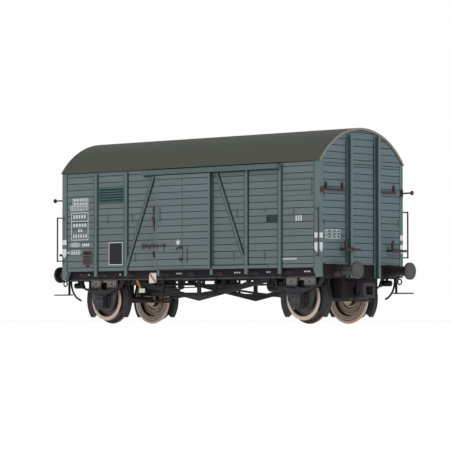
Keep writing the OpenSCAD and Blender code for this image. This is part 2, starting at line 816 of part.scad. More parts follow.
// a shunter's foothold and grip below one corner
module shunter_step() {
    y = half_w - 2.3;
    grip_r = 0.65;
    box([half_len - 0.5, y - 0.9, step_h - 0.3], [half_len + 4.9, y + 0.9, step_h]);
    box([half_len - 0.2, y - 0.25, step_h - 0.3], [half_len + 0.2, y + 0.25, headstock_foot]);
    translate([half_len - 0.2, y + 1.6, headstock_foot - grip_r]) rotate([90, 0, 0])
        rotate_extrude() translate([grip_r, 0]) circle(d = 0.35);
}

module shunter_steps() color(frame_black) on_rail() both_turned() shunter_step();

// ---- the nodes ----------------------------------------------------------

floor();
side_wall_right();
side_wall_left();
end_wall_front();
end_wall_rear();
roof();
side_posts_right();
side_posts_left();
corner_posts();
end_posts_front();
end_posts_rear();
door_right();
door_left();
door_handles_right();
door_handles_left();
upper_door_rail_right();
upper_door_rail_left();
lower_door_rail_right();
lower_door_rail_left();
louvres();
vent_flaps();
solebar_right();
solebar_left();
headstock_front();
headstock_rear();
centre_sills();
cross_bearers();
truss_right();
truss_left();
step_board_right();
step_board_left();
axle_guards_front();
axle_guards_rear();
springs_front();
springs_rear();
axle_boxes_front();
axle_boxes_rear();
wheelset_front();
wheelset_rear();
brake_shoes_front();
brake_shoes_rear();
brake_beams_front();
brake_beams_rear();
brake_rods();
brake_cylinder();
air_tank();
brake_levers();
coupler_box_front();
coupler_box_rear();
coupler_socket_front();
coupler_socket_rear();
buffers_front();
buffers_rear();
brake_hoses();
handrails();
lamp_brackets();
shunter_steps();
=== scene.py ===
# Looks of a small-scale covered railway wagon: boarding, paint, ironwork, blank lettering panels and light.
#
# The frame is in metres. X runs along the wagon (+X is its front), Y across it, Z up. What is drawn on the
# right side (-Y) or the front end is set on the left side or the rear end by a half-turn about Z.

import math

import bmesh
import bpy
from mathutils import Matrix, Vector


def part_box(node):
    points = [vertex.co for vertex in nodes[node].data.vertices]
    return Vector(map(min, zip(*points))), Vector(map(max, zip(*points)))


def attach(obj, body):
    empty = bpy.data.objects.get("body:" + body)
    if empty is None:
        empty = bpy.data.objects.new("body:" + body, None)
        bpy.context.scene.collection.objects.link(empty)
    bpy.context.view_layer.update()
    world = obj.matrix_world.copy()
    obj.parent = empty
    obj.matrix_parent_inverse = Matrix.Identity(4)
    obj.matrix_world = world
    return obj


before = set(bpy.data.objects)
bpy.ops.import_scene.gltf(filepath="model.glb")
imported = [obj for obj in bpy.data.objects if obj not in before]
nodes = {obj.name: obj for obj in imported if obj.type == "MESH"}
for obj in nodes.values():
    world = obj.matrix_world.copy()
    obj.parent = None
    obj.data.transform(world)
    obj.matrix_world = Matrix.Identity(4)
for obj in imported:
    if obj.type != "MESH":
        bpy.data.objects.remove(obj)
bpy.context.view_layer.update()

MM = 0.001
RAIL = 0.9                      # the rail top, above the floor that the flanges touch
SIDES = (("right", False), ("left", True))
ENDS = (("front", False), ("rear", True))
BUFFER_R = 2.13                 # radius of the buffers' heads


def cad(node):
    """A CAD node's lowest and highest corners in millimetres, with heights above the rail."""
    return [Vector((p.x / MM, p.y / MM, p.z / MM - RAIL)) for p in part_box(node)]


# ---- sizes taken from the frame ----------------------------------------------

wall_low, wall_high = cad("side_wall_right")
door_low = cad("door_right")[0]
post_low, post_high = cad("side_posts_right")
corner_low, corner_high = cad("corner_posts")
end_low, end_high = cad("end_wall_front")
roof_high = cad("roof")[1]
sole_low, sole_high = cad("solebar_right")
louvre_low, louvre_high = cad("louvres")
wheel_low, wheel_high = cad("wheelset_front")
box_high = cad("axle_boxes_front")[1]
guard_high = cad("axle_guards_front")[1]
buffer_low, buffer_high = cad("buffers_front")
rail_low, rail_high = cad("upper_door_rail_right")

wall_face = -wall_low.y
wall_half = end_high.x          # the end walls' outer faces
wall_half_y = wall_face - 1.0   # the side walls' inner faces
post_face = -post_low.y
corner_face = corner_high.y
corner_end = corner_high.x
corner_low_x = corner_end - 1.7
sole_face = -sole_low.y
axle_x = (wheel_low.x + wheel_high.x) / 2
wheel_r = (wheel_high.z - wheel_low.z) / 2 - RAIL
door_face = -door_low.y
buffer_y = (buffer_high.y - buffer_low.y) / 2 - BUFFER_R
buffer_z = (buffer_low.z + buffer_high.z) / 2
eaves = wall_high.z
sill = wall_low.z

# the inside of the roof is an arc over the end walls
roof_rise = roof_high.z - eaves
roof_r = (roof_high.y ** 2 + roof_rise ** 2) / (2 * roof_rise)
roof_axis = roof_high.z - roof_r
roof_in_r = end_high.z - roof_axis

# boards
BOARD = 1.705                   # pitch of the boards
GROOVE = 0.17                   # gap between two boards
BOARD_PROUD = 0.1               # how far a board stands out from the wall behind it
FIRST_GROOVE = sill + 1.03
board_face = wall_face + BOARD_PROUD
end_board_face = wall_half + BOARD_PROUD
door_board_face = door_face + BOARD_PROUD
DOORWAY = (-9.3, sill + 0.7, 9.3, eaves - 2.0)
GUARD_FACE = 10.95              # outer faces of the axle guards
BOX_EAR_FACE = 11.35            # outer faces of the axle boxes' side lugs
WEB_R = 4.15                    # radius of the groove round a wheel's middle, which is given painted shade
INNER_RINGS = (5.5, 4.95, 3.6, 3.0, 2.4, 1.8)   # radii of the rings on the wheels' inner faces
INK = 0.02                      # how far printed marks stand out
LAP = 0.05                      # how far a raised plate reaches into what carries it
INK_LAP = 0.03                  # and a printed mark
SHADOW_SEAM = 0.26                     # width of the painted shadows along the framing
POSTS = (post_low.x + 0.6, -21.1, 21.1, post_high.x - 0.6)      # middles of the side posts
POST_HALF = 0.6                 # half the width of a side post
BRACE_TOP, BRACE_FOOT = (11.0, sill + 24.3), (20.8, sill + 1.3)
BRACE_HALF = 0.45               # half the width of a brace
END_POST = 5.3                  # middles of the end posts, either side of the middle
END_POST_HALF = 0.65
HEADSTOCK_TOP = sill + 0.9


# ---- meshes ------------------------------------------------------------------

def on_side(u, v, w):
    """u runs along the right side, v up, w out from the wagon's middle."""
    return Vector((u, -w, v))


def on_end(u, v, w):
    """u runs across the front end, v up, w out from the wagon's middle."""
    return Vector((w, u, v))


def lying(u, v, w):
    """u along, v across, w up."""
    return Vector((u, v, w))


def rectangle(u0, v0, u1, v1):
    return [(u0, v0), (u1, v0), (u1, v1), (u0, v1)]


def circle(u, v, radius, count=24, squash=1.0):
    steps = (2 * math.pi * k / count for k in range(count))
    return [(u + radius * math.cos(a), v + radius * squash * math.sin(a)) for a in steps]


def inset(outline, d):
    """A convex outline, drawn anticlockwise, with every side moved in by d."""
    out = []
    for k, here in enumerate(outline):
        before, after = Vector(outline[k - 1]), Vector(outline[(k + 1) % len(outline)])
        here = Vector(here)
        a, b = (here - before).normalized(), (after - here).normalized()
        n1, n2 = Vector((-a.y, a.x)), Vector((-b.y, b.x))
        middle = n1 + n2
        out.append(tuple(here + middle * (2 * d / max(middle.length_squared, 0.2))))
    return out


def strip(a, b, half):
    """The outline of a straight band from a to b."""
    a, b = Vector(a), Vector(b)
    along = (b - a).normalized()
    out = Vector((-along.y, along.x)) * half
    return [tuple(p) for p in (a - out, b - out, b + out, a + out)]


class Shape:
    """A mesh being built from closed solids."""

    def __init__(self):
        self.mesh = bmesh.new()

    def skin(self, rings):
        """One closed solid through a stack of rings of equal count."""
        rings = [[self.mesh.verts.new(p) for p in ring] for ring in rings]
        count = len(rings[0])
        for low, high in zip(rings, rings[1:]):
            for i in range(count):
                j = (i + 1) % count
                self.mesh.faces.new((low[i], low[j], high[j], high[i]))
        self.mesh.faces.new(rings[0][::-1])
        self.mesh.faces.new(rings[-1])

    def raised(self, plane, outline, back, front, edge=0.04):
        """A flat plate whose front edges are rounded off."""
        layers = [(outline, back), (outline, front - edge)]
        layers += [(inset(outline, edge * 0.3), front - edge * 0.3), (inset(outline, edge), front)]
        self.skin([[plane(u, v, w) for u, v in points] for points, w in layers])

    def hoop(self, plane, outline, width, back, front):
        """A flat band that follows a convex outline, as printed borders do."""
        inner = inset(outline, width)
        count = len(outline)
        for i in range(count):
            j = (i + 1) % count
            quad = [outline[i], outline[j], inner[j], inner[i]]
            self.skin([[plane(u, v, w) for u, v in quad] for w in (back, front)])

    def block(self, low, high, edge=0.05):
        """A box with all its upright and top edges rounded off."""
        self.raised(lying, rectangle(low[0], low[1], high[0], high[1]), low[2], high[2], edge)

    def rod(self, path, diameter, sides=12):
        """A round rod along a path, with domed ends."""
        path = [Vector(p) for p in path]
        r = diameter / 2
        first, last = (path[1] - path[0]).normalized(), (path[-1] - path[-2]).normalized()
        stations = [(path[0] - first * r * 0.4, 0.55 * r)] + [(p, r) for p in path]
        stations += [(path[-1] + last * r * 0.4, 0.55 * r)]
        side = first.orthogonal().normalized()
        rings = []
        for k, (point, radius) in enumerate(stations):
            ahead, behind = stations[min(k + 1, len(stations) - 1)][0], stations[max(k - 1, 0)][0]
            along = (ahead - behind).normalized()
            side = (side - along * side.dot(along)).normalized()
            up = along.cross(side)
            turns = (2 * math.pi * n / sides for n in range(sides))
            rings.append([point + side * (radius * math.cos(a)) + up * (radius * math.sin(a)) for a in turns])
        self.skin(rings)

    def bolt(self, plane, u, v, w, across=0.5, height=0.18, sides=6):
        """A bolt head on a small washer."""
        self.raised(plane, circle(u, v, across * 0.72, 16), w - 0.05, w + 0.07, 0.03)
        self.raised(plane, circle(u, v, across / 2, sides), w, w + height, 0.05)

    def rivet(self, plane, u, v, w, across=0.36):
        """A low round rivet head."""
        rings = ((1.0, -0.05), (1.0, 0.03), (0.8, 0.1), (0.45, 0.14))
        r = across / 2
        self.skin([[plane(a, b, w + rise) for a, b in circle(u, v, r * share, 12)] for share, rise in rings])

    def finish(self, name, material, body, turned=False, smooth=False):
        """Makes the piece in the frame's metres and sets it riding on its body."""
        place = Matrix.Scale(MM, 4) @ Matrix.Translation((0, 0, RAIL))
        if turned:
            place = Matrix.Rotation(math.pi, 4, "Z") @ place
        bmesh.ops.transform(self.mesh, matrix=place, verts=self.mesh.verts)
        bmesh.ops.recalc_face_normals(self.mesh, faces=self.mesh.faces)
        for face in self.mesh.faces:
            face.smooth = smooth
        data = bpy.data.meshes.new(name)
        self.mesh.to_mesh(data)
        self.mesh.free()
        data.materials.append(material)
        piece = bpy.data.objects.new(name, data)
        bpy.context.scene.collection.objects.link(piece)
        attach(piece, body)


def on_both(pair, name, draw, material, bodies=("wagon", "wagon"), smooth=False):
    """Draws the same piece on the right and left sides, or on the front and rear ends."""
    for (which, turned), body in zip(pair, bodies):
        shape = Shape()
        draw(shape)
        shape.finish(f"{name}_{which}", material, body, turned, smooth)


# ---- finishes ----------------------------------------------------------------

def paint(code):
    """The linear colour of a paint given as six hex digits."""
    parts = [int(code[k:k + 2], 16) / 255 for k in (0, 2, 4)]
    return tuple(p / 12.92 if p <= 0.04045 else ((p + 0.055) / 1.055) ** 2.4 for p in parts) + (1.0,)


class Value:
    """A value over a surface. Arithmetic on it adds Math nodes to its finish."""

    def __init__(self, owner, socket):
        self.owner, self.socket = owner, socket

    def math(self, operation, *others):
        return self.owner.add("ShaderNodeMath", {"operation": operation}, dict(enumerate((self, *others))))

    def __add__(self, other):
        return self.math("ADD", other)

    def __sub__(self, other):
        return self.math("SUBTRACT", other)

    def __mul__(self, other):
        return self.math("MULTIPLY", other)

    def __truediv__(self, other):
        return self.math("DIVIDE", other)

    def __rsub__(self, other):
        return self * -1 + other

    def __abs__(self):
        return self.math("ABSOLUTE")

    __radd__, __rmul__ = __add__, __mul__

    def floor(self):
        return self.math("FLOOR")

    def sine(self):
        return self.math("SINE")

    def root(self):
        return self.math("SQRT")

    def step(self, low, high):
        """0 below low, 1 above high, and a smooth rise between them; low may be the higher."""
        return self.owner.add("ShaderNodeMapRange", {"interpolation_type": "SMOOTHSTEP"},
                              {0: self, 1: low, 2: high, 3: 0.0, 4: 1.0})


class Finish:
    """One material: a painted or bare surface with its own colour, roughness and relief."""

    def __init__(self, name, metallic=0.0, specular=0.4):
        self.material = bpy.data.materials.new(name)
        self.material.use_nodes = True
        self.tree = self.material.node_tree
        self.tree.nodes.clear()
        self.surface = self.tree.nodes.new("ShaderNodeBsdfPrincipled")
        out = self.tree.nodes.new("ShaderNodeOutputMaterial")
        self.tree.links.new(self.surface.outputs[0], out.inputs[0])
        self.surface.inputs["Metallic"].default_value = metallic
        self.surface.inputs["Specular IOR Level"].default_value = specular
        spot = self.add("ShaderNodeTexCoord", output="Object")
        self.spot = self.add("ShaderNodeVectorMath", {"operation": "SCALE"}, {0: spot, "Scale": 1 / MM})
        parts = self.add("ShaderNodeSeparateXYZ", inputs={0: self.spot}, output=None)
        self.x, self.y, self.z = (Value(self, parts.outputs[k]) for k in range(3))

    def add(self, kind, settings=None, inputs=None, output=0):
        """Adds a node: its settings, then the values or links of its sockets. Gives the output asked for."""
        node = self.tree.nodes.new(kind)
        for key, value in (settings or {}).items():
            setattr(node, key, value)
        for key, value in (inputs or {}).items():
            if isinstance(value, Value):
                self.tree.links.new(value.socket, node.inputs[key])
            else:
                node.inputs[key].default_value = value
        return node if output is None else Value(self, node.outputs[output])

    def facing(self, axis):
        """How far the surface faces along an axis: 0 for X, 1 for Y, 2 for Z."""
        normal = self.add("ShaderNodeNewGeometry", output="Normal")
        return self.add("ShaderNodeSeparateXYZ", inputs={0: normal}, output=axis)

    def noise(self, size, stretch=(1, 1, 1), detail=3.0):
        """Cloudy noise, from 0 to 1, whose lumps are about size mm across, drawn out by stretch."""
        spread = tuple(1 / (size * s) for s in stretch)
        place = self.add("ShaderNodeVectorMath", {"operation": "MULTIPLY"}, {0: self.spot, 1: spread})
        return self.add("ShaderNodeTexNoise", {}, {"Vector": place, "Scale": 1.0, "Detail": detail})

    def mix(self, share, a, b):
        """Colour a where share is 0, and colour b where it is 1."""
        return self.add("ShaderNodeMix", {"data_type": "RGBA"}, {0: share, 6: a, 7: b}, output=2)

    def tone(self, colour, share):
        """A colour made darker or lighter by a share that is 1 where nothing changes."""
        grey = self.add("ShaderNodeCombineColor", {}, {0: share, 1: share, 2: share})
        return self.add("ShaderNodeMix", {"data_type": "RGBA", "blend_type": "MULTIPLY"},
                        {0: 1.0, 6: colour, 7: grey}, output=2)

    def wear(self, colour, roughness, relief=None, depth=0.02):
        """Sets what changes over the surface, and gives the material."""
        for name, value in (("Base Color", colour), ("Roughness", roughness)):
            self.tree.links.new(value.socket, self.surface.inputs[name])
        if relief is not None:
            bump = self.add("ShaderNodeBump", {}, {"Strength": 0.6, "Distance": depth * MM, "Height": relief})
            self.tree.links.new(bump.socket, self.surface.inputs["Normal"])
        return self.material


def painted(name, code, dusty, drift=0.10, gloss=0.56, specular=0.3):
    """Matt paint on moulded plastic: a little dust, a soft drift of tone and a fine orange-peel relief."""
    f = Finish(name, specular=specular)
    broad, fine = f.noise(7.0), f.noise(0.35, detail=5.0)
    colour = f.mix(broad.step(0.35, 0.8) * 0.45 + fine * 0.12, paint(code), paint(dusty))
    colour = f.tone(colour, 1 - drift / 2 + fine * drift)
    return f.wear(colour, gloss + broad * 0.12 + fine * 0.08, fine, 0.012)


def boarded(name, code, dusty):
    """Painted boards: each its own tone, with drawn-out grain, streaks and patches of dust."""
    f = Finish(name, specular=0.3)
    number = ((f.z - (RAIL + FIRST_GROOVE)) / BOARD).floor()
    luck = f.add("ShaderNodeTexWhiteNoise", {"noise_dimensions": "1D"}, {"W": number + 7.3})
    grain = f.noise(0.16, (26, 26, 1), 5.0)
    streak = f.noise(1.1, (14, 14, 1))
    patch = f.noise(12.0)
    colour = f.mix(patch.step(0.3, 0.8) * 0.5 + streak * 0.2, paint(code), paint(dusty))
    colour = f.tone(colour, 0.915 + luck * 0.07 + grain * 0.09 + streak * 0.05)
    return f.wear(colour, 0.6 + grain * 0.14 + patch * 0.06, grain * 0.8 + streak * 0.4, 0.03)


def roof_cover():
    """Painted sheet roof: olive grey, mottled, with faint runs of dust; a little lighter towards the eaves,
    and lighter and browner on the end faces.
    """
    f = Finish("roof_paint", specular=0.3)
    broad, fine = f.noise(9.0, (2.4, 1, 1)), f.noise(0.4, detail=5.0)
    runs = f.noise(2.2, (1, 9, 9))
    low = f.z.step(RAIL + roof_high.z - 2, RAIL + eaves)
    colour = f.mix(broad.step(0.3, 0.85) * 0.5 + low * 0.2, paint("4a4c43"), paint("54564b"))
    colour = f.mix(abs(f.facing(0)).step(0.6, 0.9), colour, paint("837d72"))
    colour = f.tone(colour, 0.94 + fine * 0.08 + runs * 0.06)
    return f.wear(colour, 0.62 + broad * 0.1 + fine * 0.08, fine + runs * 0.5, 0.02)


def guard_iron_painted_highlight():
    """Axle guards: the plates at the top are painted lighter than the legs below, a painted highlight of the
    light from above.
    """
    f = Finish("guard_iron_painted_highlight", specular=0.4)
    broad, fine = f.noise(3.0), f.noise(0.3, detail=5.0)
    # the top plates get a painted highlight
    top = f.z.step(RAIL + guard_high.z - 2.3, RAIL + guard_high.z - 1.5)
    colour = f.mix(top, paint("2e2d30"), paint("918d8a"))
    colour = f.mix(broad.step(0.4, 0.8) * 0.3, colour, paint("8d867c"))
    colour = f.tone(colour, 0.9 + fine * 0.2)
    return f.wear(colour, 0.5 + broad * 0.2, fine, 0.015)


def turned_metal():
    """Turned wheels: pale faces with fine turning marks and dark rings, painted shade in the groove round the
    middle and, on the outer faces, over the web inside it, and dark treads and flanges.
    """
    f = Finish("turned_metal", metallic=0.55, specular=0.5)
    across, up = abs(f.x) - axle_x, f.z - (RAIL + wheel_r)
    radius = (across * across + up * up).root()
    fine = f.noise(0.25, detail=4.0)
    rings = (radius * 42 + f.noise(1.6) * 2).sine() * 0.5 + 0.5
    # painted shade in the wheel's groove and, on the outer faces, over the web inside it
    outer = abs(f.y).step(8.2, 8.8)
    web_shade = radius.step(WEB_R + 0.2, WEB_R + 0.05) * outer * 0.8
    web_shade += radius.step(WEB_R, WEB_R + 0.1) * radius.step(WEB_R + 0.5, WEB_R + 0.4) * 0.85
    inner_rings = sum(abs(radius - r).step(0.19, 0.09) for r in INNER_RINGS) * (1 - outer)
    flange = radius.step(wheel_r - 0.05, wheel_r + 0.05) * abs(f.y).step(7.6, 7.8)
    shade = web_shade + inner_rings * 0.8 + flange
    colour = f.mix(shade, paint("d3bcac"), paint("262322"))
    colour = f.mix(abs(f.facing(1)).step(0.45, 0.2) * 0.92, colour, paint("2f2a29"))
    colour = f.tone(colour, 0.88 + rings * 0.08 + fine * 0.1)
    return f.wear(colour, 0.34 + rings * 0.08 + fine * 0.16, rings * 0.5 + fine * 0.5, 0.01)


def buffer_finish():
    """Buffers: blackened sleeves, and heads of greased grey steel with worn middles."""
    f = Finish("buffer_finish", specular=0.45)
    head = abs(f.x).step(buffer_high.x - 0.12, buffer_high.x - 0.06)
    across, up = abs(f.y) - buffer_y, f.z - (RAIL + buffer_z)
    radius = (across * across + up * up).root()
    fine, broad = f.noise(0.3, detail=5.0), f.noise(2.0)
    worn = radius.step(1.9, 0.4) * head
    colour = f.mix(head, paint("1e1719"), paint("454043"))
    colour = f.mix(worn * 0.25 + broad * 0.1, colour, paint("5f5a59"))
    colour = f.tone(colour, 0.9 + fine * 0.2)
    return f.wear(colour, 0.42 - worn * 0.1 + fine * 0.1, fine + (radius * 30).sine() * worn * 0.3, 0.012)


def latch_finish():
    """Door irons: the upright grips are in body green, the latch and its lever in dark iron."""
    f = Finish("latch_paint", specular=0.4)
    along = f.x * f.y.step(1.0, -1.0) * 2 - f.x
    grip = abs(along + 7.9).step(0.3, 0.2) + abs(along - 1.7).step(0.3, 0.2)
    fine, broad = f.noise(0.3, detail=5.0), f.noise(2.0)
    middle = f.z.step(RAIL + sill + 3.0, RAIL + sill + 3.2) * f.z.step(RAIL + sill + 5.2, RAIL + sill + 5.0)
    lever = middle * abs(along + 0.15).step(1.0, 0.9)
    colour = f.mix(grip + lever, paint("3a2c2c"), paint("5c6e6c"))
    colour = f.mix(broad.step(0.4, 0.8) * 0.2, colour, paint("5a5250"))
    colour = f.tone(colour, 0.9 + fine * 0.2)
    return f.wear(colour, 0.5 + fine * 0.2, fine, 0.01)


def framing_finish(name, axis, shaded):
    """Framing paint with painted shade on the faces that look along one axis, such as the sides of the posts.
    """
    f = Finish(name)
    fine, broad = f.noise(0.35, detail=5.0), f.noise(7.0)
    colour = f.mix(broad.step(0.35, 0.8) * 0.4, paint("5c6e6c"), paint("667672"))
    # painted shade on the faces that look along the axis
    colour = f.mix(abs(f.facing(axis)).step(0.5, 0.9), colour, paint(shaded))
    colour = f.tone(colour, 0.95 + fine * 0.1)
    return f.wear(colour, 0.56 + fine * 0.12, fine, 0.012)


def sign_finish():
    """The white plates and the yellow change-over lever; the big plates have a red stripe across."""
    f = Finish("sign_paint", specular=0.4)
    along, up = abs(f.x), f.z - RAIL
    lever = along.step(16.9, 17.1) * up.step(8.2, 8.4)
    stripe = abs((along - 12.55) * -1 + (up - 10.9)).step(0.55, 0.4) * along.step(16.5, 16.2)
    fine = f.noise(0.3, detail=4.0)
    colour = f.mix(lever, paint("dcd9d2"), paint("c79a35"))
    colour = f.mix(stripe * 0.85, colour, paint("a8514a"))
    colour = f.tone(colour, 0.9 + fine * 0.14)
    return f.wear(colour, 0.5 + fine * 0.2, fine, 0.01)


BOARDS = boarded("body_boards", "606b6b", "687372")
# The end boards are a little bluer than the side boards: painted shade, for the end wall is in the same
# paint.
END_BOARDS = boarded("end_boards", "5d6c72", "66757b")
DOOR_BOARDS = boarded("door_boards", "616c6d", "697373")
# Dark green for the wall seen between the boards and for the strips along the framing: painted shade in the
# grooves and beside the posts.
PAINTED_SHADE = painted("wall_behind_boards_painted_shade", "293537", "303b3d", specular=0.15)
FRAMING = painted("frame_paint", "5c6e6c", "667672", drift=0.08)
LOUVRE = painted("louvre_paint", "486060", "546a69")
ROOF = roof_cover()
BLACK = painted("underframe_black", "1c171a", "282225", drift=0.25, gloss=0.5, specular=0.2)
GEAR = painted("gear_grey", "272629", "363435", drift=0.25, gloss=0.48, specular=0.3)
GUARD = guard_iron_painted_highlight()
WHEELS = turned_metal()
IRON = painted("iron_brown", "3d2f2f", "4d3f3d", drift=0.16, gloss=0.5)
LATCH = latch_finish()
# painted shade on the end posts' webs and on the side posts' sides
END_POSTS = framing_finish("end_post_paint", 1, "43555a")
SIDE_POSTS = framing_finish("side_post_paint", 0, "33454a")
# The upper door rail gets a darker copy of the framing paint, as painted shade.
RAIL_SHADED_PAINT = painted("rail_paint_shaded", "4e5f5f", "576866", drift=0.08)
BUFFERS = buffer_finish()
SIGNS = sign_finish()
INTERIOR = painted("load_floor", "4b4a45", "58564f", drift=0.16)
WHITE = painted("sign_white", "d2d7d5", "c2c8c7", drift=0.06, gloss=0.6)
WIRE = painted("card_wire", "6d5f60", "7b6f6e", drift=0.16)
COVER = painted("box_cover", "3a3b3e", "525152", drift=0.25, gloss=0.4)
PRESSING = painted("pressed_lips", "2e2226", "3a2f32", drift=0.2, gloss=0.45)
SLATE = painted("slate_black", "1f1e21", "29282b", drift=0.12, gloss=0.6)
LABEL_GREEN = painted("label_green", "28403f", "33494a", drift=0.12)
COUPLER = painted("socket_grey", "333235", "424042", drift=0.16, gloss=0.45)


def like(*stems):
    """The CAD nodes with these names, or with these names before their side or end."""
    return [node for name, node in nodes.items() if name in stems or name.rsplit("_", 1)[0] in stems]


for material, stems in (
    # the walls behind the boards take the painted shade
    (PAINTED_SHADE, ("side_wall", "end_wall", "door", "vent_flaps")),
    (FRAMING, ("corner_posts", "lower_door_rail")),
    (RAIL_SHADED_PAINT, ("upper_door_rail",)),
    (SIDE_POSTS, ("side_posts",)),
    (END_POSTS, ("end_posts",)),
    (LOUVRE, ("louvres",)),
    (ROOF, ("roof",)),
    (INTERIOR, ("floor",)),
    (BLACK, ("solebar", "headstock", "coupler_box", "air_tank", "brake_cylinder", "brake_hoses",
             "shunter_steps", "step_board")),
    (GEAR, ("centre_sills", "cross_bearers", "truss", "springs", "axle_boxes", "brake_shoes",
            "brake_beams", "brake_rods")),
    (GUARD, ("axle_guards",)),
    (WHEELS, ("wheelset",)),
    (COUPLER, ("coupler_socket",)),
    (LATCH, ("door_handles",)),
    (IRON, ("handrails", "lamp_brackets")),
    (BUFFERS, ("buffers",)),
    (SIGNS, ("brake_levers",)),
):
    for node in like(*stems):
        node.data.materials.clear()
        node.data.materials.append(material)

# moulded edges are never quite sharp
for node in like("side_posts", "corner_posts", "end_posts", "upper_door_rail", "lower_door_rail", "door",
                 "solebar", "headstock", "truss", "step_board", "axle_guards", "axle_boxes", "coupler_box",
                 "coupler_socket", "louvres", "vent_flaps", "lamp_brackets", "brake_levers"):
    weld = node.modifiers.new("weld", "WELD")
    weld.merge_threshold = 1e-6
    bevel = node.modifiers.new("soft_edges", "BEVEL")
    bevel.width = 0.05 * MM
    bevel.segments = 2
    bevel.limit_method = "ANGLE"
    bevel.angle_limit = math.radians(40)


# ---- boards ------------------------------------------------------------------

def rows(low, high, extra=()):
    """The boards between two heights, as pairs of lower and upper edge, with the grooves left out."""
    levels = sorted([FIRST_GROOVE + BOARD * k for k in range(30)] + list(extra))
    cuts = [low] + [v for v in levels if low + 0.3 < v < high - 0.3] + [high]
    return [(a + GROOVE / 2, b - GROOVE / 2) for a, b in zip(cuts, cuts[1:])]


def without(pieces, hole):
    """Rectangles (u0, v0, u1, v1) with a rectangular hole cut out of them."""
    out = []
    for u0, v0, u1, v1 in pieces:
        if u1 <= hole[0] or u0 >= hole[2] or v1 <= hole[1] or v0 >= hole[3]:
            out.append((u0, v0, u1, v1))
            continue
        left, right = max(u0, hole[0]), min(u1, hole[2])
        parts = [(u0, v0, left, v1), (right, v0, u1, v1),
                 (left, v0, right, hole[1]), (left, hole[3], right, v1)]
        out += [p for p in parts if p[2] - p[0] > 0.15 and p[3] - p[1] > 0.15]
    return out


def side_boards(shape):
    vent = (louvre_low.x - 0.1, louvre_low.z - 0.1, POSTS[1], louvre_high.z + 0.1)
    for low, high in rows(sill, eaves - 0.05):
        pieces = [(-wall_high.x, low, wall_high.x, high)]
        for hole in (DOORWAY, vent):
            pieces = without(pieces, hole)
        for u0, v0, u1, v1 in pieces:
            shape.raised(on_side, rectangle(u0, v0, u1, v1), wall_face - LAP, board_face)


def end_boards(shape):
    straight = -corner_low.y - 1.25
    for low, high in rows(end_low.z + 0.1, end_high.z - 0.12, [eaves - 0.42]):
        right = []
        for k in range(6):
            v = low + (high - low) * k / 5
            arc = math.sqrt(max(roof_in_r ** 2 - (v - roof_axis) ** 2, 0.01)) - 0.06 if v > roof_axis else 99
            right.append((min(straight if v < eaves else wall_face - 0.05, arc), v))
        left = [(-u, v) for u, v in reversed(right)]
        shape.raised(on_end, right + left, wall_half - LAP, end_board_face, 0.035)


def door_boards(shape):
    """Two fields of boards, and a flat stile down each edge of the door."""
    half, stile, top = -door_low.x, 0.62, rail_low.z - 0.15
    for low, high in rows(door_low.z, top):
        for u0, u1 in ((-half + stile, -0.06), (0.06, half - stile)):
            shape.raised(on_side, rectangle(u0, low, u1, high), door_face - LAP, door_board_face)
    for u in (-half, half - stile):
        shape.raised(on_side, rectangle(u + 0.04, door_low.z + 0.03, u + stile - 0.04, top - 0.03),
                     door_face - LAP, door_face + 0.13)


def flap_boards(shape):
    """The boards of the closed ventilator flap, between the outer post and the corner."""
    face = wall_face + 0.2
    u0, u1 = post_high.x + 0.35, corner_low_x - 0.85
    for v0, v1 in ((0.06, 1.1), (1.25, 2.5), (2.65, 3.75), (3.9, 4.14)):
        outline = rectangle(u0, louvre_low.z + v0, u1, louvre_low.z + v1)
        shape.raised(on_side, outline, face - LAP, face + 0.07)


def seam_shadows(shape):
    """Painted shadows where posts, braces and the rail's fascia meet the boards, and along the corner posts.
    """
    back, front = wall_face, board_face + 0.02
    for u in POSTS:
        shape.raised(on_side, rectangle(u - POST_HALF - SHADOW_SEAM, sill, u + POST_HALF + SHADOW_SEAM, post_high.z),
                     back, front, 0.01)
    for side in (-1, 1):
        top, foot = ((side * u, v) for u, v in (BRACE_TOP, BRACE_FOOT))
        shape.raised(on_side, strip(top, foot, BRACE_HALF + SHADOW_SEAM), back, front, 0.01)
    shape.raised(on_side, rectangle(rail_low.x, rail_low.z - 0.32, rail_high.x, rail_low.z), back,
                 post_face + 0.02, 0.01)
    shape.raised(on_side, rectangle(-corner_low_x, sill, -corner_low_x + SHADOW_SEAM, eaves), back, front, 0.01)
    shape.raised(on_side, rectangle(corner_low_x - SHADOW_SEAM, sill, corner_low_x, eaves), back, front, 0.01)


# Painted shadows along both sides of the end posts.
def end_seam_shadows(shape):
    for side in (-1, 1):
        middle, half = side * END_POST, END_POST_HALF
        outline = rectangle(middle - half - SHADOW_SEAM, HEADSTOCK_TOP, middle + half + SHADOW_SEAM, eaves + 5.2)
        shape.raised(on_end, outline, wall_half, end_board_face + 0.02, 0.01)


def post_ribs(shape):
    """The raised flange along one side of each post and brace."""
    back, front = post_face - LAP, post_face + 0.1
    for u in POSTS:
        shape.raised(on_side, rectangle(u + 0.02, post_low.z + 0.1, u + POST_HALF - 0.1, post_high.z - 0.1),
                     back, front, 0.03)
    for side in (-1, 1):
        top, foot = (Vector((side * u, v)) for u, v in (BRACE_TOP, BRACE_FOOT))
        shift = Vector((0.17, 0))
        run = (foot - top).normalized()
        shape.raised(on_side, strip(top + run + shift, foot - run * 1.6 + shift, 0.16), back, front, 0.03)


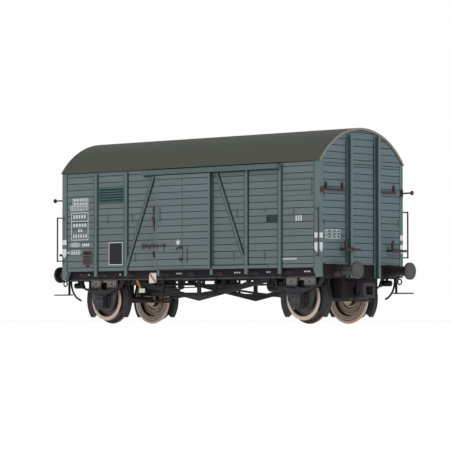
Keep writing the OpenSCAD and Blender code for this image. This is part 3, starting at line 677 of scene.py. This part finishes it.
def post_edge_shadows(shape):
    """A painted shade line along the other side of each post and brace."""
    back, front = post_face - LAP, post_face + INK
    for u in POSTS:
        outline = rectangle(u - POST_HALF, post_low.z + 0.1, u - POST_HALF + 0.14, post_high.z - 0.1)
        shape.raised(on_side, outline, back, front, 0.01)
    for side in (-1, 1):
        top, foot = (Vector((side * u, v)) for u, v in (BRACE_TOP, BRACE_FOOT))
        run = (foot - top).normalized()
        shift = Vector((-abs(run.y), side * abs(run.x))) * (BRACE_HALF - 0.07)
        line = strip(top + run * 0.5 + shift, foot - run * 1.2 + shift, 0.07)
        shape.raised(on_side, line, back, front, 0.01)


def end_sill(shape):
    """The sill strip at the foot of the end wall, between the posts."""
    for u0, u1 in ((-13.9, -END_POST - 0.7), (-END_POST + 0.7, END_POST - 0.7), (END_POST + 0.7, 13.9)):
        shape.raised(on_end, rectangle(u0, HEADSTOCK_TOP, u1, HEADSTOCK_TOP + 0.38),
                     wall_half - LAP, end_board_face + 0.22, 0.05)


on_both(SIDES, "side_boards", side_boards, BOARDS)
on_both(ENDS, "end_boards", end_boards, END_BOARDS)
on_both(SIDES, "door_boards", door_boards, DOOR_BOARDS, ("right_door", "left_door"))
on_both(SIDES, "flap_boards", flap_boards, BOARDS)
on_both(SIDES, "seam_shadows", seam_shadows, PAINTED_SHADE)
on_both(ENDS, "end_seam_shadows", end_seam_shadows, PAINTED_SHADE)
on_both(SIDES, "post_ribs", post_ribs, SIDE_POSTS)
on_both(SIDES, "post_edge_shadows", post_edge_shadows, PAINTED_SHADE)
on_both(ENDS, "end_sill", end_sill, FRAMING)


# ---- blank lettering panels and other printed marks ---------------------------

def side_marks(shape):
    back, front = board_face - INK_LAP, board_face + INK

    def bars(u0, v0, u1, v1, count, gap=0.3):
        pitch = (u1 - u0 + gap) / count
        for k in range(count):
            outline = rectangle(u0 + k * pitch, v0, u0 + (k + 1) * pitch - gap, v1)
            shape.raised(on_side, outline, back, front, 0.01)

    # the data panel: a border, a rule across it and plain blocks where figures would be
    shape.hoop(on_side, rectangle(-41.73, 21.14, -35.27, 28.43), 0.16, back, front)
    bars(-41.6, 26.07, -35.4, 26.22, 1)
    bars(-40.9, 26.9, -36.3, 27.8, 5, 0.45)
    bars(-40.9, 24.65, -36.1, 25.5, 5, 0.45)
    bars(-39.1, 23.3, -37.6, 24.0, 2, 0.4)
    bars(-41.0, 21.75, -35.9, 22.65, 6, 0.45)
    # two small tables above it
    for u0, v0, v1, count in ((-41.2, 30.4, 32.1, 5), (-42.1, 29.0, 30.2, 6)):
        shape.hoop(on_side, rectangle(u0, v0, -35.3, v1), 0.13, back, front)
        middle = (v0 + v1) / 2
        bars(u0 + 0.1, middle - 0.05, -35.4, middle + 0.05, 1)
        bars(u0 + 0.5, v0 + 0.2, -35.7, middle - 0.25, count, 0.35)
        bars(u0 + 0.5, middle + 0.25, -35.7, v1 - 0.2, count, 0.35)
    # the oval and the small marks below
    shape.hoop(on_side, circle(-40.2, 19.95, 1.9, 28, 0.32), 0.16, back, front)
    bars(-41.2, 19.75, -39.2, 20.15, 3, 0.2)
    bars(-37.5, 19.5, -34.9, 20.2, 4, 0.2)
    shape.hoop(on_side, rectangle(-41.9, 17.3, -38.3, 18.45), 0.14, back, front)
    bars(-41.5, 17.65, -38.7, 18.1, 4, 0.25)
    bars(-43.2, 17.7, -42.4, 18.1, 1)
    # towards the front end
    bars(37.3, 24.25, 39.3, 25.6, 3, 0.4)
    bars(33.0, 14.85, 37.6, 15.25, 9, 0.2)
    # the slate's border
    shape.hoop(on_side, rectangle(-27.5, 14.4, -22.4, 20.3), 0.17, back, front + 0.08)
    bars(-26.9, 19.45, -23.0, 19.8, 7, 0.22)


def corner_marks(shape):
    """A block and a pointed shield on both faces of the two corner posts at one end."""
    for plane, u0, u1, w in ((on_side, corner_low_x + 0.06, corner_end - 0.06, corner_face),
                             (on_side, 0.06 - corner_end, -corner_low_x - 0.06, corner_face),
                             (on_end, -corner_face + 0.06, -corner_face + 1.15, corner_end),
                             (on_end, corner_face - 1.15, corner_face - 0.06, corner_end)):
        middle = (u0 + u1) / 2
        shape.raised(plane, rectangle(u0, 20.0, u1, 21.3), w - INK_LAP, w + INK, 0.01)
        shield = [(middle, 16.5), (u1, 17.3), (u1, 18.9), (u0, 18.9), (u0, 17.3)]
        shape.raised(plane, shield, w - INK_LAP, w + INK, 0.01)


def end_table(shape):
    """A small blank table on the end wall."""
    back, front = end_board_face - INK_LAP, end_board_face + INK
    u0, v0, u1, v1 = -13.8, 19.9, -8.2, 22.15
    shape.hoop(on_end, rectangle(u0, v0, u1, v1), 0.11, back, front)
    for share in (1 / 3, 2 / 3):
        v = v0 + (v1 - v0) * share
        shape.raised(on_end, rectangle(u0 + 0.1, v - 0.04, u1 - 0.1, v + 0.04), back, front, 0.01)
    for row in range(3):
        for u, wide in ((u0 + 0.4, 0.5), (u0 + 2.2, 0.7), (u0 + 3.9, 0.6)):
            v = v0 + 0.28 + row * 0.75
            shape.raised(on_end, rectangle(u, v, u + wide, v + 0.22), back, front, 0.01)


def sole_marks(shape):
    """Rows of short dashes on the solebar."""
    w = sole_face
    for u0, count in ((-39.6, 5), (-24.9, 1), (-4.4, 3), (15.8, 3), (21.6, 3), (26.6, 2), (38.9, 3)):
        for k in range(count):
            dash = rectangle(u0 + k * 0.75, 11.75, u0 + k * 0.75 + 0.5, 12.1)
            shape.raised(on_side, dash, w - INK_LAP, w + INK, 0.01)


def door_star(shape):
    """A small six-pointed mark on the door."""
    for k in range(3):
        a = math.pi * k / 3 + math.pi / 2
        run, wide = Vector((math.cos(a), math.sin(a))), Vector((-math.sin(a), math.cos(a)))
        centre = Vector((-1.46, 19.76))
        outline = [centre - run * 1.0, centre + wide * 0.3, centre + run * 1.0, centre - wide * 0.3]
        outline = [tuple(p) for p in outline]
        if (outline[1][0] - outline[0][0]) * (outline[2][1] - outline[1][1]) < \
                (outline[1][1] - outline[0][1]) * (outline[2][0] - outline[1][0]):
            outline.reverse()
        shape.raised(on_side, outline, door_board_face - INK_LAP, door_board_face + INK + 0.004 * k, 0.008)


on_both(SIDES, "side_marks", side_marks, WHITE)
on_both(ENDS, "corner_marks", corner_marks, WHITE)
on_both(ENDS, "end_table", end_table, WHITE)
on_both(SIDES, "solebar_marks", sole_marks, WHITE)
on_both(SIDES, "door_star", door_star, WHITE, ("right_door", "left_door"))


# ---- boards, holders and ironwork on the sides ---------------------------------

def slate(shape):
    shape.raised(on_side, rectangle(-27.25, 14.65, -22.65, 20.05), board_face - LAP, board_face + 0.14, 0.05)


def card_holder(shape):
    """The dark plate of the card holder."""
    shape.raised(on_side, rectangle(-37.1, 14.55, -33.8, 18.3), board_face - LAP, board_face + 0.1)
    shape.raised(on_side, rectangle(-35.8, 14.05, -35.1, 14.6), board_face - LAP, board_face + 0.25)


def card_wires(shape):
    """The bars in front of the card."""
    shape.hoop(on_side, rectangle(-37.1, 14.55, -33.8, 18.3), 0.16, board_face, board_face + 0.3)
    for k in range(5):
        v = 15.05 + k * 0.52
        shape.rod([on_side(-37.0, v, board_face + 0.22), on_side(-33.9, v, board_face + 0.22)], 0.2, 8)


def label_holder(shape):
    u0, v0, u1, v1 = 28.0, 24.15, 31.9, 25.95
    shape.raised(on_side, rectangle(u0, v0, u1, v1), board_face - LAP, board_face + 0.08)
    for k in range(3):
        v = v0 + 0.3 + k * 0.6
        bar = rectangle(u0 - 0.25, v - 0.13, u1 + 0.1, v + 0.13)
        shape.raised(on_side, bar, board_face, board_face + 0.26)
    for u in (u0 + 0.15, u1 - 0.15):
        shape.raised(on_side, rectangle(u - 0.15, v0, u + 0.15, v1), board_face, board_face + 0.34)


def locking_irons(shape):
    """The hooks, chain and pin that hold the door shut, on the wall beside it."""
    w = board_face + 0.32
    for path, thick in (
        (((-11.1, 28.0), (-10.9, 28.9), (-10.4, 29.4), (-9.9, 29.0)), 0.36),
        (((-10.9, 28.2), (-10.9, 26.6)), 0.2),
        (((-11.5, 26.4), (-10.7, 26.1), (-9.9, 26.5)), 0.4),
        (((-11.1, 26.1), (-10.9, 24.6), (-10.6, 22.9)), 0.26),
        (((-15.1, 19.5), (-14.3, 19.0), (-13.5, 19.3), (-12.7, 18.9), (-11.9, 19.3), (-10.2, 19.1)), 0.34),
        (((-14.9, 19.3), (-14.7, 18.3)), 0.26),
        (((-12.7, 18.8), (-12.4, 18.2)), 0.26),
        (((-11.2, 17.6), (-10.9, 16.7), (-10.6, 16.0)), 0.3),
    ):
        shape.rod([on_side(u, v, w) for u, v in path], thick)
    for u, v in ((-10.7, 28.6), (-11.0, 26.0), (-10.9, 25.2), (-14.0, 19.1), (-11.2, 19.1), (-10.9, 17.2)):
        shape.raised(on_side, circle(u, v, 0.42, 12), board_face - LAP, w + 0.12, 0.08)


def door_irons(shape):
    """The hasp at the door's edge, and the two catches of its lever."""
    w = door_board_face
    shape.raised(on_side, rectangle(-9.0, 18.95, -5.6, 19.2), w - LAP, w + 0.18)
    shape.raised(on_side, circle(-6.4, 19.05, 0.42, 14), w, w + 0.3, 0.08)
    shape.rod([on_side(-6.3, 18.8, w + 0.1), on_side(-6.3, 17.5, w + 0.1)], 0.14, 8)
    shape.rod([on_side(-1.9, 18.0, w + 0.2), on_side(-1.4, 18.6, w + 0.2),
               on_side(-0.4, 18.5, w + 0.25)], 0.34)
    shape.rod([on_side(-0.9, 15.7, w + 0.2), on_side(-0.6, 15.2, w + 0.25),
               on_side(0.2, 15.2, w + 0.25)], 0.34)


def staple(shape, plane, u, low, high, w):
    """A thin wire staple whose ends go into the boards."""
    shape.rod([plane(u, low, w - 0.3), plane(u, low + 0.2, w), plane(u, high - 0.2, w),
               plane(u, high, w - 0.3)], 0.2, 8)


def staples(shape):
    """Upright staples for labels and lamps, in body colour; an open door clears them."""
    w = board_face + 0.25
    for u, v0, v1 in ((-27.96, 25.3, 27.7), (-18.9, 25.3, 27.3), (-17.8, 15.1, 17.3), (17.9, 25.4, 27.9),
                      (27.3, 26.8, 27.8), (36.7, 25.5, 27.7), (16.8, 14.9, 17.3), (27.1, 14.9, 17.4)):
        staple(shape, on_side, u, v0, v1, w)


def iron_sockets(shape):
    """The thick ribbed parts of the lower lamp irons, in front of the end wall."""
    x, z = wall_half + 1.75, sill + 4.5
    for y in (-END_POST - 2.7, END_POST + 4.7):
        shape.rod([(x, y, z), (x, y + 3.2, z)], 0.8)
        for k in range(3):
            shape.rod([(x, y + 0.5 + k, z), (x, y + 0.75 + k, z)], 0.95)
        shape.rod([(x, y, z), (x, y, z + 1.9), (x, y + 0.35, z + 2.4)], 0.55)


def iron_tip_highlights(shape):
    """Painted highlights: light caps on the pins of the upper lamp irons."""
    x, z = wall_half + 0.35, sill + 20.8
    for y in (-wall_half_y + 1.0, -wall_half_y + 7.1, END_POST + 6.9):
        shape.rod([(x, y, z - 0.2), (x, y, z + 0.1)], 0.56)


def end_staples(shape):
    w = end_board_face + 0.25
    for u, v0, v1 in ((-14.2, 30.0, 31.1), (-14.2, 23.2, 24.5), (14.1, 23.2, 25.1)):
        staple(shape, on_end, u, v0, v1, w)


def door_stop_hook(shape):
    """The hook that catches the open door, on the solebar."""
    w = sole_face
    u = 31.6
    shape.raised(on_side, rectangle(u - 0.3, 10.3, u + 0.3, 13.0), w - LAP, w + 0.5)
    shape.rod([on_side(u, 12.6, w + 0.5), on_side(u, 13.3, w + 1.1), on_side(u, 13.9, w + 1.5),
               on_side(u, 14.2, w + 1.4)], 0.45)
    shape.bolt(on_side, u, 11.1, w + 0.5, 0.36)


on_both(SIDES, "slate", slate, SLATE)
on_both(SIDES, "card_holder", card_holder, SLATE)
on_both(SIDES, "card_wires", card_wires, WIRE)
on_both(SIDES, "label_holder", label_holder, LABEL_GREEN)
on_both(SIDES, "locking_irons", locking_irons, IRON, smooth=True)
on_both(SIDES, "door_irons", door_irons, IRON, ("right_door", "left_door"))
on_both(SIDES, "staples", staples, FRAMING, smooth=True)
on_both(ENDS, "end_staples", end_staples, FRAMING, smooth=True)
on_both(ENDS, "iron_sockets", iron_sockets, IRON, smooth=True)
on_both(ENDS, "iron_tip_highlights", iron_tip_highlights, WIRE, smooth=True)
on_both(SIDES, "door_stop_hook", door_stop_hook, IRON)


# ---- rivets, bolts and pressings -----------------------------------------------

def frame_rivets(shape):
    """Rivets along the narrow flange of the posts."""
    for u in POSTS:
        for k in range(15):
            v = FIRST_GROOVE + BOARD * (k + 0.5)
            if v < post_high.z - 0.4:
                shape.rivet(on_side, u - 0.3, v, post_face, 0.3)


def sole_pressings(shape):
    """Turned-out lips of the oval holes along the solebar."""
    for u in (-38.0, -30.8, -21.0, -8.2, 0.9, 10.4, 22.6, 33.7):
        shape.raised(on_side, circle(u, 11.65, 1.6, 24, 0.3), sole_face - LAP, sole_face + 0.1, 0.08)
        shape.hoop(on_side, circle(u, 11.65, 1.75, 24, 0.3), 0.12, sole_face - LAP, sole_face + 0.16)


def sole_flange_highlight(shape):
    """The edge of the solebar's lower flange, painted lighter as a highlight."""
    shape.raised(on_side, rectangle(sole_low.x + 0.2, sole_low.z, sole_high.x - 0.2, sole_low.z + 0.26),
                 sole_face - LAP, sole_face + 0.14, 0.04)


def pipes(shape):
    """The brake pipe and smaller pipes and brackets under the floor. One set serves the whole wagon."""
    for path, thick in (
        (((-37, 1.1, 9.6), (-14, 1.1, 9.6), (-12, 1.1, 9.1), (14, 1.1, 9.1), (16, 1.1, 9.6),
          (37, 1.1, 9.6)), 0.5),
        (((-24, -4.4, 9.9), (-22, -4.4, 9.2), (9, -4.4, 9.2), (11, -4.4, 9.9)), 0.36),
        (((-6, -5.8, 10.2), (-6, -5.8, 8.7), (7, -5.8, 8.7), (7, -5.8, 10.2)), 0.36),
        (((16, -5.6, 10.0), (17, -5.6, 9.0), (24, -5.6, 8.8), (25, -5.6, 9.9)), 0.3),
        (((-15, -6.0, 8.4), (15, -6.0, 8.9)), 0.3),
    ):
        shape.rod(path, thick)
    for x in (-19.0, -11.5, -3.0, 4.5, 13.0, 21.0):
        shape.block((x - 0.3, -6.3, 8.5), (x + 0.3, -5.6, sole_low.z + 0.3))
    for x in (-27.0, -18.0, 6.0, 26.0):
        shape.block((x - 0.25, 0.8, 9.3), (x + 0.25, 1.4, sole_low.z + 0.9))


def brake_linkage(shape):
    """Levers and guide straps of the brake, between the middle and the wheels."""
    for y in (-1.7, 1.7):
        shape.block((22.8, y - 0.2, 6.7), (30.0, y + 0.2, 8.0))
        shape.rod([(23.2, y, 7.3), (17.5, y, 8.6)], 0.45)
    for x in (23.2, 26.6, 29.4):
        shape.block((x - 0.3, -2.1, 6.5), (x + 0.3, 2.1, 7.0))
        shape.block((x - 0.25, -0.3, 6.8), (x + 0.25, 0.3, 10.6))
    shape.block((22.6, -2.4, 8.7), (30.2, 2.4, 9.3))


def hose_taps(shape):
    """The tap body above each hose, below the buffer that is far from the step."""
    shape.rod([(43.4, 10.3, 9.2), (45.7, 10.3, 9.2)], 1.5, 20)
    shape.rod([(44.5, 10.3, 9.2), (44.5, 10.3, 10.4)], 0.7, 14)
    shape.rod([(45.0, 9.3, 9.2), (45.0, 11.4, 9.2)], 0.6, 12)


def end_bolts(shape):
    """Bolts that hold the buffers and the end posts to the headstock."""
    for side in (-1, 1):
        for du in (-1.9, 1.9):
            for dv in (-1.1, 1.1):
                shape.bolt(on_end, side * buffer_y + du, buffer_z + dv, wall_half, 0.46)
        shape.raised(on_end, rectangle(side * buffer_y - 2.5, 10.5, side * buffer_y + 2.5, 13.55),
                     wall_half - LAP, wall_half + 0.1)
        for v in (10.9, 13.2):
            shape.bolt(on_end, side * END_POST - 1.05, v, wall_half, 0.34)
            shape.bolt(on_end, side * END_POST + 1.05, v, wall_half, 0.34)


def guard_bolts(shape):
    """Bolts of the axle guards' plates."""
    for middle in (-axle_x, axle_x):
        for u in (-4.1, -1.9, 1.9, 4.1):
            for v in (8.9, 10.1):
                shape.bolt(on_side, middle + u, v, GUARD_FACE, 0.32)


def box_covers(shape):
    """The ribbed covers of the axle boxes, with their bolts, lids and lifting eyes."""
    face = box_high.y
    for middle in (-axle_x, axle_x):
        shape.raised(on_side, rectangle(middle - 1.25, 3.9, middle + 1.25, 5.9),
                     face - LAP, face + 0.12, 0.06)
        shape.raised(on_side, circle(middle, 4.9, 0.75, 20), face, face + 0.32, 0.1)
        shape.raised(on_side, rectangle(middle - 0.15, 3.75, middle + 0.15, 6.2), face, face + 0.42, 0.06)
        shape.raised(on_side, rectangle(middle - 1.45, 6.05, middle + 1.45, 6.4),
                     face - LAP, face + 0.3, 0.08)
        for u in (-1.05, 1.05):
            for v in (4.15, 5.65):
                shape.bolt(on_side, middle + u, v, face + 0.1, 0.42, 0.22)
        for u in (-2.2, 2.2):
            shape.bolt(on_side, middle + u, 5.0, BOX_EAR_FACE, 0.4)
        shape.rod([on_side(middle - 0.9, 3.55, face - 0.15), on_side(middle + 0.9, 3.55, face - 0.15)], 0.4)


on_both(SIDES, "frame_rivets", frame_rivets, FRAMING, smooth=True)
on_both(SIDES, "solebar_pressings", sole_pressings, PRESSING)
on_both(SIDES, "solebar_flange_highlight", sole_flange_highlight, COVER)
on_both(ENDS, "hose_taps", hose_taps, BLACK, smooth=True)
on_both(SIDES[:1], "pipes", pipes, GEAR)
on_both(ENDS, "brake_linkage", brake_linkage, GEAR)
on_both(ENDS, "headstock_bolts", end_bolts, BLACK)
on_both(SIDES, "guard_bolts", guard_bolts, GUARD)
on_both(SIDES, "axle_box_covers", box_covers, COVER)


# ---- camera, floor and light ---------------------------------------------------

scene = bpy.context.scene
BEARING = math.radians(42.857)          # the view is this far round from square-on to the right side
DISTANCE = 0.6645                       # from the wagon's middle, along the ground
ASIDE = 0.00045                         # and this far to the left of it
SENSOR = 36
FOCAL = 205.1                           # on that sensor
FLOOR_GLOW = 0.62                       # keeps the floor near white
AMBIENT = 0.3
LIGHTS_AIM = Vector((0, 0, 0.024))      # the middle of the wagon
TILT = math.radians(2.10)
towards = Vector((-math.sin(BEARING), math.cos(BEARING), 0))
rightwards = Vector((math.cos(BEARING), math.sin(BEARING), 0))

lens = bpy.data.cameras.new("camera")
lens.sensor_width = SENSOR
lens.lens = FOCAL
lens.clip_start = 0.01
camera = bpy.data.objects.new("camera", lens)
scene.collection.objects.link(camera)
camera.location = -towards * DISTANCE - rightwards * ASIDE + Vector((0, 0, RAIL * MM))
aim = towards * math.cos(TILT) + Vector((0, 0, math.sin(TILT)))
camera.rotation_euler = aim.to_track_quat("-Z", "Y").to_euler()
scene.camera = camera

floor_finish = Finish("studio_floor", specular=0.2)
floor_noise = floor_finish.noise(60.0)
floor_white = floor_finish.mix(floor_noise * 0.3, paint("f6f6f6"), paint("f1f1f1"))
floor_mesh = bmesh.new()
bmesh.ops.create_grid(floor_mesh, x_segments=4, y_segments=4, size=3.0)
floor_data = bpy.data.meshes.new("studio_floor")
floor_mesh.to_mesh(floor_data)
floor_mesh.free()
floor_finish.tree.links.new(floor_white.socket, floor_finish.surface.inputs["Emission Color"])
floor_finish.surface.inputs["Emission Strength"].default_value = FLOOR_GLOW
floor_data.materials.append(floor_finish.wear(floor_white, floor_noise * 0.1 + 0.8))
studio_floor = bpy.data.objects.new("studio_floor", floor_data)
scene.collection.objects.link(studio_floor)


def softbox(name, place, size, power):
    """A square soft light that faces the wagon."""
    data = bpy.data.lights.new(name, "AREA")
    data.shape = "SQUARE"
    data.size = size
    data.energy = power
    light = bpy.data.objects.new(name, data)
    scene.collection.objects.link(light)
    light.location = place
    light.rotation_euler = (LIGHTS_AIM - light.location).to_track_quat("-Z", "Y").to_euler()


softbox("side_light", Vector((-0.42, -0.85, 0.68)), 0.35, 4.0)
softbox("end_light", Vector((0.95, -0.12, 0.6)), 0.4, 3.5)
softbox("back", towards * 0.9 + Vector((0, 0, 0.8)), 0.8, 2.0)

world = bpy.data.worlds.new("studio")
scene.world = world
world.use_nodes = True
sky = world.node_tree
sky.nodes.clear()
ambient = sky.nodes.new("ShaderNodeBackground")
ambient.inputs["Color"].default_value = (0.95, 0.97, 1.0, 1)
ambient.inputs["Strength"].default_value = AMBIENT
backdrop = sky.nodes.new("ShaderNodeBackground")
backdrop.inputs["Color"].default_value = (1, 1, 1, 1)
backdrop.inputs["Strength"].default_value = 1.0
seen = sky.nodes.new("ShaderNodeLightPath")
choose = sky.nodes.new("ShaderNodeMixShader")
world_out = sky.nodes.new("ShaderNodeOutputWorld")
sky.links.new(seen.outputs["Is Camera Ray"], choose.inputs[0])
sky.links.new(ambient.outputs[0], choose.inputs[1])
sky.links.new(backdrop.outputs[0], choose.inputs[2])
sky.links.new(choose.outputs[0], world_out.inputs[0])
scene.view_settings.view_transform = "Standard"
